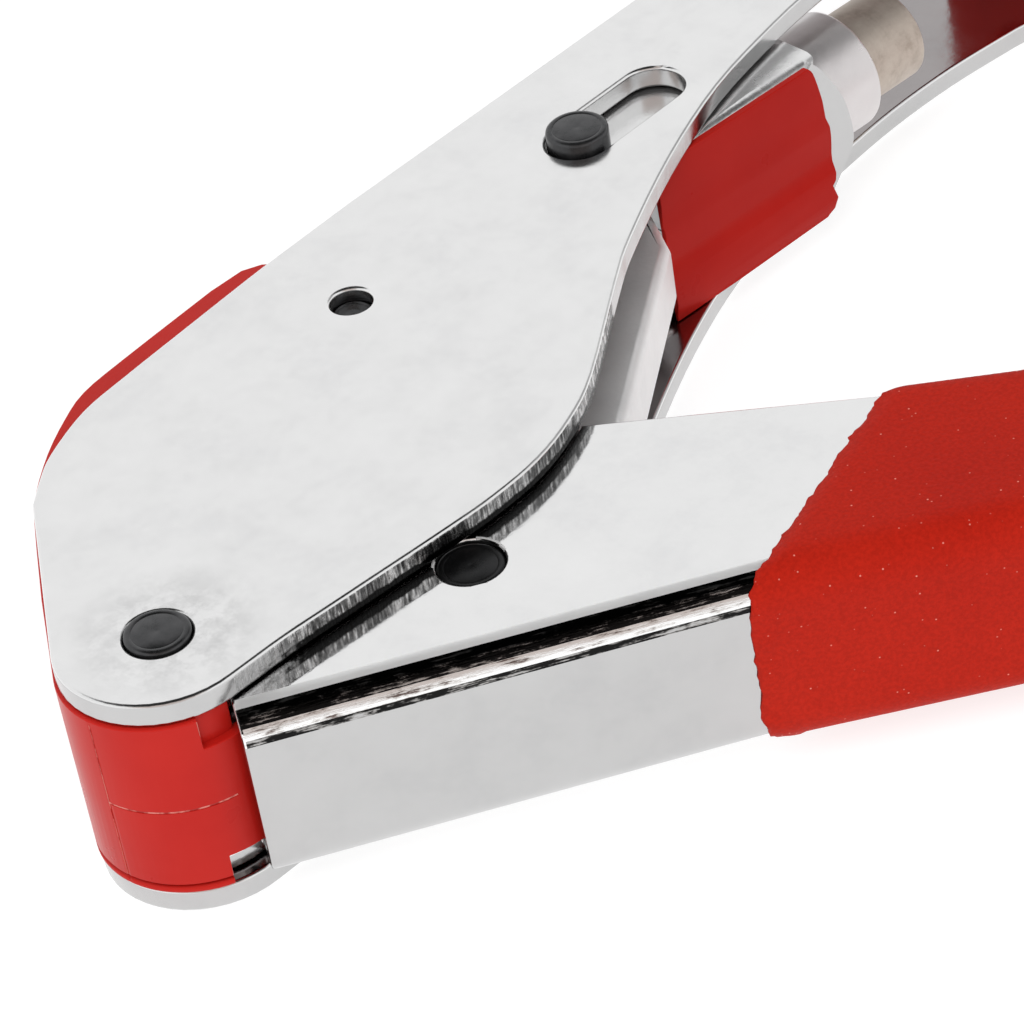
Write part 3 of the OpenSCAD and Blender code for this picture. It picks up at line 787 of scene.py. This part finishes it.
TO_X = Matrix.Rotation(math.pi / 2, 4, "Y")
ALONG = CARRIAGE @ Matrix.Translation(Vector((0, AXIS_V, MID))) @ TO_X
rivet = pin_profile(2.0, 0.1, 19.9, 0.3)
row_of_turned("handle_rivets", [(rivet, at((x, RIVET_Y)), False) for x in RIVET_X])
cradle_pin = pin_profile(1.2, 0.4, 19.6, 0.2)
row_of_turned("cradle_pins", [(cradle_pin, at((x, CRADLE_PIN_Y)), False) for x in CRADLE_PIN_X])
row_of_turned("pivot_sleeve", [(ring_profile(3.6, 2.55, 3.8, 16.2, 0.15), FLAT, True)])
row_of_turned("link_spacers", [(spacer(3.8, 6.9), at(LINK_C), True),
                               (spacer(13.1, 16.2), at(LINK_C), True)])
row_of_turned("slider_spacers", [(spacer(3.4, 6.9), at(SLIDE_D), True),
                                 (spacer(13.1, 16.6), at(SLIDE_D), True)])
small_rivet = pin_profile(0.9, 2.35, 17.65, 0.2)
row_of_turned("carriage_rivets", [(small_rivet, CARRIAGE @ at((u, 5.2)), False) for u in (13.2, 19.6)])
row_of_turned("lock_nut", [(nut_profile(), ALONG, True)], TURNED)
row_of_turned("plunger", [(plunger_profile(), ALONG, False)])
jaw_pin = pin_profile(1.0, *JAW_PIN_X, 0.15, False)
row_of_turned("jaw_pins", [(jaw_pin, at((0, JAW_PIN_Y), MID + side * JAW_PIN_OFF) @ TO_X, False)
                           for side in (-1, 1)])

# ---------------------------------------------------------------- springs


def leg_angle(pin, coil_r, beside, side):
    """Direction of a leg that leaves the coil on a tangent and passes a pin at a distance."""
    return math.atan2(pin[1], pin[0]) - side * math.asin((coil_r + beside) / math.hypot(pin[0], pin[1]))


def return_spring():
    """Coil about the nose pivot, one leg on the anchor pin and one on the link pin's spacer."""
    coil_r, wire, lo, hi = 4.6, 0.55, 5.4, 14.6
    steps, turns = 320, 7
    gap = wire + PIN_PLAY
    leg_a = leg_angle(ANCHOR, coil_r, 1.65 + gap, 1)
    leg_b = leg_angle(LINK_C, coil_r, SPACER_R + gap, -1)
    turn_a = leg_a + math.pi / 2
    turn_b = leg_b + 1.5 * math.pi
    path = []
    for k in range(steps + 1):
        t = turn_a + (turn_b - turn_a + turns * 2 * math.pi) * k / steps
        path.append(Vector((coil_r * math.cos(t), coil_r * math.sin(t), lo + (hi - lo) * k / steps)))
    first = path[0] + 41.5 * along(leg_a)
    last = path[-1] + 24 * along(leg_b)
    ob = tube("return_spring_fine", [first] + path + [last], wire, 12, "spring_steel")
    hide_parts("return_spring")
    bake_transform(ob)


def jaw_spring(node, side):
    """Small coil on a jaw's pin, one leg held still and one on the jaw."""
    coil_r, steps, first_deg, sweep_deg = 1.55, 120, 270, 1010
    path = []
    for k in range(steps + 1):
        t = math.radians(first_deg + sweep_deg * k / steps)
        path.append(Vector((JAW_COIL_X + JAW_COIL_L * (k / steps - 0.5), JAW_PIN_Y + coil_r * math.cos(t),
                            MID + side * (JAW_PIN_OFF + coil_r * math.sin(t)))))
    t = math.radians(290)
    first = path[0] + Vector((0, -3, 0))
    last = path[-1] + 2.6 * Vector((0, math.cos(t), side * math.sin(t)))
    ob = tube(node + "_fine", [first] + path + [last], 0.22, 10, "spring_steel")
    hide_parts(node)
    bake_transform(ob)


return_spring()
jaw_spring("front_jaw_spring", 1)
jaw_spring("rear_jaw_spring", -1)

# ---------------------------------------------------------------- dipped grips

BEND_P = along(WEB_ANG) * BEND_S + outward_of(WEB_ANG) * WEB_H
MITRE = along((WEB_ANG + GRIP_ANG) / 2)


def lever_face(p):
    """How far a point is out from the lever's web, and which way is out."""
    ang = WEB_ANG if (p - BEND_P).dot(MITRE) < 0 else GRIP_ANG
    out = outward_of(ang)
    return (p - BEND_P).dot(out), out


def upper_face(p):
    return p.y - UPPER_FACE_Y, Vector((0, 1, 0))


def depth_of_skin(p, face):
    """How far a point lies outside the folded sheet, and which way is out of it."""
    height, out = face(p)
    across = Vector((0, 0, 1.0 if p.z > MID else -1.0))
    past_flange = abs(p.z - MID) - (LEVER_W / 2 - FOLD_R)
    past_web = height + FOLD_R
    if past_flange > 0 and past_web > 0:
        away = across * past_flange + out * past_web
        return math.hypot(past_flange, past_web) - FOLD_R, away.normalized()
    if past_flange > past_web:
        return past_flange - FOLD_R, across
    return past_web - FOLD_R, out


def fray_of(p):
    """How far the coating's rim reaches out past the dip line, or falls short of it near the table."""
    ragged = noise.noise(p * 0.6) * 0.28 + noise.noise(p * 1.9) * 0.22 + noise.noise(p * 4.1) * 0.12
    return ragged - 1.3 * max(0.0, 1 - (p.z - 1.6) / 2.2) ** 2


def thin_rim(p, edge, way, face, free_edge):
    """Move a point of the coating near its rim: thinner towards the dip line, and frayed."""
    rim, least, frayed = 1.4, 0.45, 2.0
    d = (p - edge).dot(way)
    if d > rim:
        return p
    t = max(0.0, d / rim)
    keep = least + (1 - least) * t * t * (3 - 2 * t)
    depth, out = depth_of_skin(p, face)
    if depth > 0:
        p -= out * depth * (1 - keep)
    if free_edge is not None:
        over = (p - free_edge[0]).dot(free_edge[1])
        if over > 0:
            p -= free_edge[1] * over * (1 - keep)
    p -= way * max(0.0, 1 - d / frayed) * fray_of(p)
    return p


def dipped(node, channel, edge, way, face, free_edge=None):
    """Coating as one soft skin over the channel beyond the dip line, thin and ragged along its rim."""
    bm = bmesh.new()
    bm.from_mesh(frame["nodes"][channel].data)
    bmesh.ops.remove_doubles(bm, verts=bm.verts, dist=WELD)
    geom = list(bm.verts) + list(bm.edges) + list(bm.faces)
    bmesh.ops.bisect_plane(bm, geom=geom, plane_co=edge * MM, plane_no=way, dist=1e-7, clear_inner=True)
    bmesh.ops.holes_fill(bm, edges=[e for e in bm.edges if e.is_boundary])
    skin = bmesh.new()
    skin.from_mesh(frame["nodes"][node].data)
    bmesh.ops.remove_doubles(skin, verts=skin.verts, dist=WELD)
    spare = bpy.data.meshes.new("spare")
    skin.to_mesh(spare)
    skin.free()
    bm.from_mesh(spare)
    ob = piece_from(node + "_fine", bm, "red_dip")
    remesh = ob.modifiers.new("remesh", "REMESH")
    remesh.mode = "VOXEL"
    remesh.voxel_size = VOXEL * MM
    calm = ob.modifiers.new("calm", "SMOOTH")
    calm.factor = 0.5
    calm.iterations = 5
    apply_modifiers(ob)
    places = np.zeros(len(ob.data.vertices) * 3)
    ob.data.vertices.foreach_get("co", places)
    places = places.reshape(-1, 3) / MM
    for i, place in enumerate(places):
        places[i] = thin_rim(Vector(place), edge, way, face, free_edge)
    ob.data.vertices.foreach_set("co", (places * MM).ravel())
    ob.data.update()
    ob.data.shade_smooth()
    settle(ob, node)


dip_dir = (DIP_HI - DIP_LO).normalized()
slope_top = Vector((51.4, -23.8, 0))
slope_end = BEND_P + 50 * along(GRIP_ANG) - HANDLE_H * outward_of(GRIP_ANG)
slope = (slope_end - slope_top).normalized()
dipped("lever_grip", "lever_channel", DIP_LO, Vector((dip_dir.y, -dip_dir.x, 0)), lever_face,
       (slope_top, Vector((-slope.y, slope.x, 0))))
dipped("upper_grip", "upper_channel", UPPER_DIP, Vector((1, 0, 0)), upper_face)

# ---------------------------------------------------------------- camera, light, floor

CAMERA_AT = Vector((-130.04, -188.08, 204.86)) * MM
CAMERA_RIGHT = Vector((0.67143, -0.72901, -0.13312))
CAMERA_DOWN = Vector((-0.53045, -0.34734, -0.77329))
CAMERA_VIEW = Vector((0.51750, 0.58982, -0.61992))
SENSOR = 36.0
LENS = 144.9


def make_camera():
    data = bpy.data.cameras.new("camera")
    data.sensor_width = SENSOR
    data.sensor_fit = "HORIZONTAL"
    data.lens = LENS
    data.clip_start = 0.01
    cam = bpy.data.objects.new("camera", data)
    bpy.context.scene.collection.objects.link(cam)
    cam.matrix_world = Matrix((
        (CAMERA_RIGHT.x, -CAMERA_DOWN.x, -CAMERA_VIEW.x, CAMERA_AT.x),
        (CAMERA_RIGHT.y, -CAMERA_DOWN.y, -CAMERA_VIEW.y, CAMERA_AT.y),
        (CAMERA_RIGHT.z, -CAMERA_DOWN.z, -CAMERA_VIEW.z, CAMERA_AT.z),
        (0, 0, 0, 1),
    ))
    bpy.context.scene.camera = cam


def make_floor():
    """Pale floor just under the resting face."""
    mesh = bpy.data.meshes.new("floor")
    half = 3.0
    low = -0.0002
    corners = [(-half, -half, low), (half, -half, low), (half, half, low), (-half, half, low)]
    mesh.from_pydata(corners, [], [(0, 1, 2, 3)])
    ob = bpy.data.objects.new("floor", mesh)
    bpy.context.scene.collection.objects.link(ob)
    mat, tree, shader = new_material("pale_floor")
    shader.inputs["Base Color"].default_value = grey(0.32)
    shader.inputs["Emission Color"].default_value = grey(1)
    shader.inputs["Emission Strength"].default_value = 0.8
    shader.inputs["Roughness"].default_value = 0.9
    shader.inputs["Specular IOR Level"].default_value = 0.0
    mesh.materials.append(mat)


def soft_light(name, direction, distance, size, power):
    """Round soft light aimed at the part; it leaves no mirror image of its own."""
    data = bpy.data.lights.new(name, "AREA")
    data.shape = "DISK"
    data.size = size
    data.energy = power
    ob = bpy.data.objects.new(name, data)
    bpy.context.scene.collection.objects.link(ob)
    aim = Vector((0.05, -0.01, 0.01))
    direction = Vector(direction).normalized()
    ob.location = aim + direction * distance
    ob.rotation_euler = direction.to_track_quat("Z", "Y").to_euler()
    ob.visible_glossy = False


def patch(tree, where, direction, outer, inner, tone):
    """Round patch of the walls by cosine to its centre: white up to the outer, toned from the inner."""
    toward = add(tree, "ShaderNodeVectorMath", operation="DOT_PRODUCT")
    toward.inputs[1].default_value = Vector(direction).normalized()
    tree.links.new(where, toward.inputs[0])
    return ramp(tree, toward.outputs["Value"], [(0.0, 1.0), (outer, 1.0), (inner, tone), (1.0, tone)])


def make_world():
    """White studio dome, dark overhead, half dark to one side and faintly tinted opposite the part's back."""
    world = bpy.data.worlds.new("studio")
    bpy.context.scene.world = world
    world.use_nodes = True
    tree = world.node_tree
    back = tree.nodes["Background"]
    where = add(tree, "ShaderNodeTexCoord").outputs["Generated"]
    overhead = patch(tree, where, (-0.03, -0.05, 1.0), 0.74, 0.80, 0.03)
    beside = patch(tree, where, (0.80, -0.15, 0.58), 0.92, 0.97, 0.4)
    front = patch(tree, where, (-0.52, -0.59, 0.62), 0.80, 0.90, (0.60, 0.53, 0.50, 1))
    tent = mix(tree, 1.0, mix(tree, 1.0, overhead, beside, "MULTIPLY"), front, "MULTIPLY")
    tree.links.new(tent, back.inputs["Color"])
    back.inputs["Strength"].default_value = 0.96


make_camera()
make_floor()
make_world()
soft_light("key", (-0.35, -0.25, 0.9), 0.9, 0.7, 4.6)
bpy.context.scene.view_settings.view_transform = "Standard"
